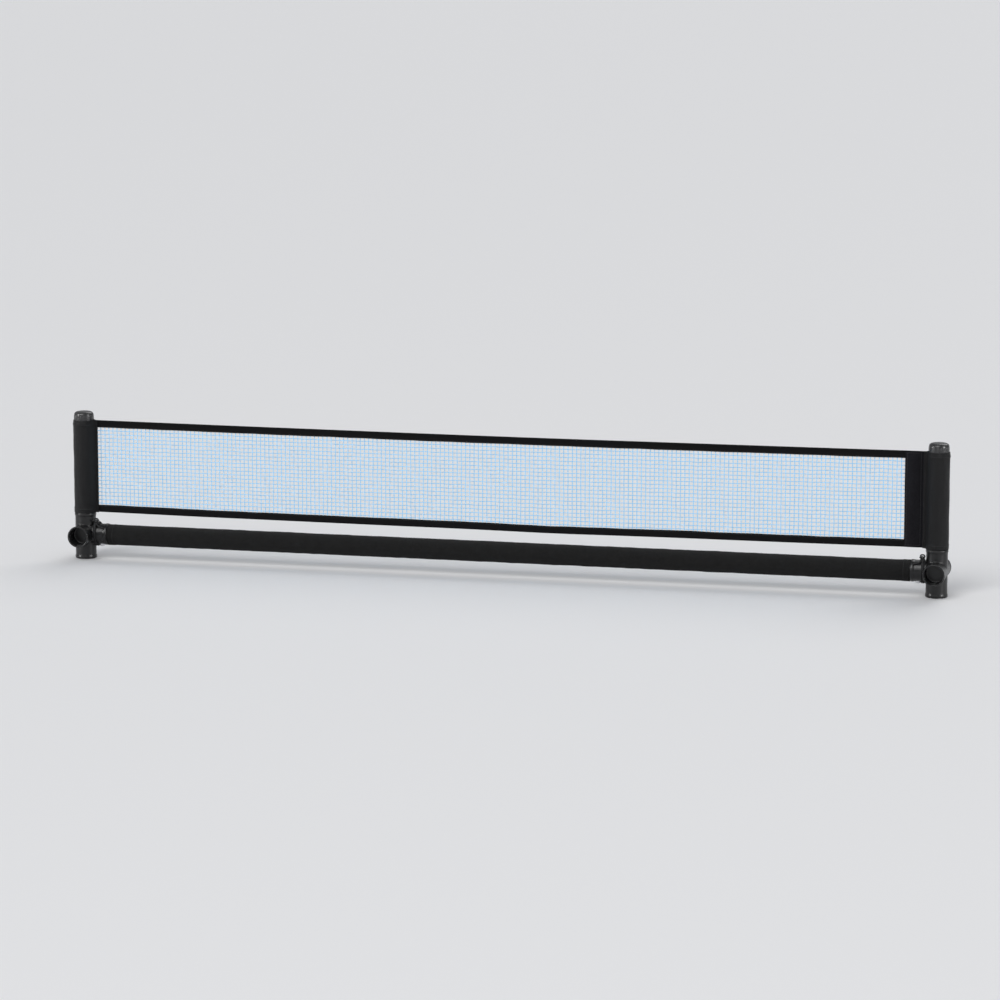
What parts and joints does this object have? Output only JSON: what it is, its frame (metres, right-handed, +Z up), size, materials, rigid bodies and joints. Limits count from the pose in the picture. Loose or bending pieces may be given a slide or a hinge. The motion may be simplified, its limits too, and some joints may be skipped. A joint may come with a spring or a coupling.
{
  "type": "table tennis net clamp set",
  "caption": "Table tennis net on clamp posts that stand in tube fittings joined by a crossbar, for a portable tube-frame table.",
  "frame": {"origin": "on the plane of the two lower socket mouths, midway between the posts", "axes": "+X along the net, +Y through the net, +Z up"},
  "size_m": [1.2508, 0.07, 0.211],
  "materials": {
    "moulded_black": "black moulded nylon, satin",
    "powder_coat": "black powder-coated steel tube",
    "cap_black": "black slip-over end cap, satin",
    "pocket_fabric": "black woven polyester, close weave",
    "sleeve_fabric": "black woven sleeve with a short nap",
    "tape_fabric": "black woven binding tape",
    "net_blue": "light blue fine open mesh",
    "cord_black": "black braided cord",
    "spring_steel": "bent spring-steel strip",
    "button_steel": "bright steel dome"
  },
  "bodies": {
    "frame": {"hub_left": "moulded_black", "hub_right": "moulded_black", "crossbar_tube": "powder_coat", "crossbar_sleeve": "sleeve_fabric", "corner_tie_left": "cord_black", "corner_tie_right": "cord_black", "snap_spring_left": "spring_steel", "snap_spring_right": "spring_steel"},
    "net_and_left_post": {"post_tube_left": "powder_coat", "post_cap_left": "cap_black", "net_pocket_left": "pocket_fabric", "net_mesh": "net_blue", "net_top_tape": "tape_fabric", "net_bottom_tape": "tape_fabric", "net_top_cord": "cord_black", "net_end_panel": "tape_fabric"},
    "right_post": {"post_tube_right": "powder_coat", "post_cap_right": "cap_black", "net_pocket_right": "pocket_fabric"},
    "button_left": {"snap_button_left": "button_steel"},
    "button_right": {"snap_button_right": "button_steel"}
  },
  "joints": [
    {"name": "left_post_lift", "type": "slide", "parent": "frame", "child": "net_and_left_post", "axis": [0, 0, 1], "range_m": [0, 0.04]},
    {"name": "right_post_lift", "type": "slide", "parent": "frame", "child": "right_post", "axis": [0, 0, 1], "range_m": [0, 0.04]},
    {"name": "left_button_press", "type": "slide", "parent": "frame", "child": "button_left", "axis": [0, 0, 1], "range_m": [0, 0.005], "stiffness_N_per_m": 1500, "springref_m": -0.001, "deforming": ["snap_spring_left"]},
    {"name": "right_button_press", "type": "slide", "parent": "frame", "child": "button_right", "axis": [0, 0, 1], "range_m": [0, 0.005], "stiffness_N_per_m": 1500, "springref_m": -0.001, "deforming": ["snap_spring_right"]}
  ],
  "couplings": [
    {"joint": "right_post_lift", "follows": "left_post_lift", "ratio": 1}
  ]
}
